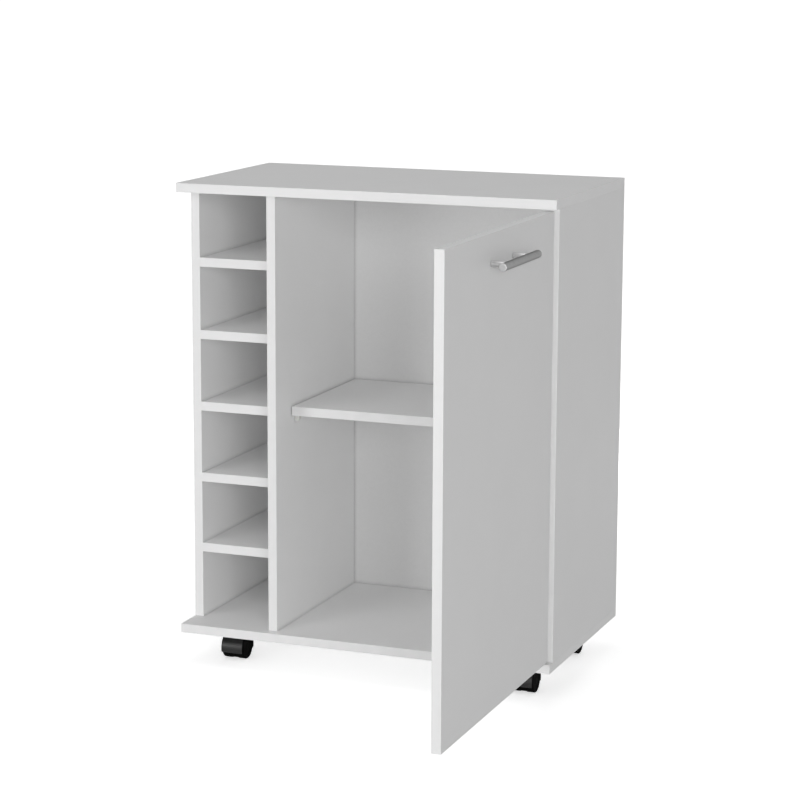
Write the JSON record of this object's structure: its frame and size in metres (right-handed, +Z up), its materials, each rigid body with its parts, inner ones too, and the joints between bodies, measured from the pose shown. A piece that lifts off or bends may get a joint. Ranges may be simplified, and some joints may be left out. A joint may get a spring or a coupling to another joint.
{
  "type": "bar cart",
  "caption": "Wheeled bar cart of white board: open bottle cubbies beside a cupboard with an inner shelf, a hinged door with a bar handle, and swivelling casters.",
  "frame": {"origin": "on the floor under the middle of the cabinet's plan", "axes": "+Z up, -Y towards the front with the cubbies and the door, +X towards the door's hinge side"},
  "size_m": [0.6663, 0.8393, 0.802],
  "materials": {
    "white_melamine_board": "white melamine facing, satin",
    "white_hardboard": "white lacquered hardboard",
    "beech_dowel": "plain fluted beech",
    "white_plastic": "moulded white plastic",
    "zinc_steel": "zinc plated steel",
    "nickel_steel": "nickel plated pressed steel",
    "satin_metal": "satin nickel",
    "soft_bumper": "soft translucent bumper",
    "black_plastic": "moulded black plastic",
    "black_plastic_tread": "moulded black plastic tread"
  },
  "bodies": {
    "carcass": {"top_panel": "white_melamine_board", "bottom_panel": "white_melamine_board", "left_side_panel": "white_melamine_board", "right_side_panel": "white_melamine_board", "divider_panel": "white_melamine_board", "cubby_shelf_1": "white_melamine_board", "cubby_shelf_2": "white_melamine_board", "cubby_shelf_3": "white_melamine_board", "cubby_shelf_4": "white_melamine_board", "cubby_shelf_5": "white_melamine_board", "cupboard_shelf": "white_melamine_board", "back_panel": "white_hardboard", "shelf_dowels": "beech_dowel", "shelf_supports": "white_plastic", "shelf_screws": "zinc_steel", "base_screws": "zinc_steel", "cam_locks": "zinc_steel", "cam_bolts": "zinc_steel", "hinge_arms": "nickel_steel", "hinge_mounting_plates": "nickel_steel", "front_left_caster_plate": "zinc_steel", "front_right_caster_plate": "zinc_steel", "rear_left_caster_plate": "zinc_steel", "rear_right_caster_plate": "zinc_steel"},
    "door": {"door_panel": "white_melamine_board", "handle_bar": "satin_metal", "handle_posts": "satin_metal", "hinge_cups": "nickel_steel", "hinge_pins": "nickel_steel", "door_bumpers": "soft_bumper"},
    "front_left_swivel": {"front_left_caster_hood": "black_plastic", "front_left_caster_axle": "zinc_steel"},
    "front_left_left_wheel": {"front_left_caster_left_wheel": "black_plastic_tread"},
    "front_left_right_wheel": {"front_left_caster_right_wheel": "black_plastic_tread"},
    "front_right_swivel": {"front_right_caster_hood": "black_plastic", "front_right_caster_axle": "zinc_steel"},
    "front_right_left_wheel": {"front_right_caster_left_wheel": "black_plastic_tread"},
    "front_right_right_wheel": {"front_right_caster_right_wheel": "black_plastic_tread"},
    "rear_left_swivel": {"rear_left_caster_hood": "black_plastic", "rear_left_caster_axle": "zinc_steel"},
    "rear_left_left_wheel": {"rear_left_caster_left_wheel": "black_plastic_tread"},
    "rear_left_right_wheel": {"rear_left_caster_right_wheel": "black_plastic_tread"},
    "rear_right_swivel": {"rear_right_caster_hood": "black_plastic", "rear_right_caster_axle": "zinc_steel"},
    "rear_right_left_wheel": {"rear_right_caster_left_wheel": "black_plastic_tread"},
    "rear_right_right_wheel": {"rear_right_caster_right_wheel": "black_plastic_tread"}
  },
  "joints": [
    {"name": "door_hinge", "type": "hinge", "parent": "carcass", "child": "door", "pos_m": [0.3078, -0.1815, 0.424], "axis": [0, 0, 1], "range_deg": [-90, 5]},
    {"name": "front_left_caster_swivel", "type": "hinge", "parent": "carcass", "child": "front_left_swivel", "pos_m": [-0.2525, -0.118, 0.045], "axis": [0, 0, 1], "continuous": true},
    {"name": "front_left_left_wheel_spin", "type": "hinge", "parent": "front_left_swivel", "child": "front_left_left_wheel", "pos_m": [-0.2525, -0.108, 0.02], "axis": [1, 0, 0], "continuous": true},
    {"name": "front_left_right_wheel_spin", "type": "hinge", "parent": "front_left_swivel", "child": "front_left_right_wheel", "pos_m": [-0.2525, -0.108, 0.02], "axis": [1, 0, 0], "continuous": true},
    {"name": "front_right_caster_swivel", "type": "hinge", "parent": "carcass", "child": "front_right_swivel", "pos_m": [0.2555, -0.118, 0.045], "axis": [0, 0, 1], "continuous": true},
    {"name": "front_right_left_wheel_spin", "type": "hinge", "parent": "front_right_swivel", "child": "front_right_left_wheel", "pos_m": [0.2555, -0.108, 0.02], "axis": [1, 0, 0], "continuous": true},
    {"name": "front_right_right_wheel_spin", "type": "hinge", "parent": "front_right_swivel", "child": "front_right_right_wheel", "pos_m": [0.2555, -0.108, 0.02], "axis": [1, 0, 0], "continuous": true},
    {"name": "rear_left_caster_swivel", "type": "hinge", "parent": "carcass", "child": "rear_left_swivel", "pos_m": [-0.2525, 0.118, 0.045], "axis": [0, 0, 1], "continuous": true},
    {"name": "rear_left_left_wheel_spin", "type": "hinge", "parent": "rear_left_swivel", "child": "rear_left_left_wheel", "pos_m": [-0.2525, 0.128, 0.02], "axis": [1, 0, 0], "continuous": true},
    {"name": "rear_left_right_wheel_spin", "type": "hinge", "parent": "rear_left_swivel", "child": "rear_left_right_wheel", "pos_m": [-0.2525, 0.128, 0.02], "axis": [1, 0, 0], "continuous": true},
    {"name": "rear_right_caster_swivel", "type": "hinge", "parent": "carcass", "child": "rear_right_swivel", "pos_m": [0.2555, 0.118, 0.045], "axis": [0, 0, 1], "continuous": true},
    {"name": "rear_right_left_wheel_spin", "type": "hinge", "parent": "rear_right_swivel", "child": "rear_right_left_wheel", "pos_m": [0.2555, 0.128, 0.02], "axis": [1, 0, 0], "continuous": true},
    {"name": "rear_right_right_wheel_spin", "type": "hinge", "parent": "rear_right_swivel", "child": "rear_right_right_wheel", "pos_m": [0.2555, 0.128, 0.02], "axis": [1, 0, 0], "continuous": true}
  ]
}
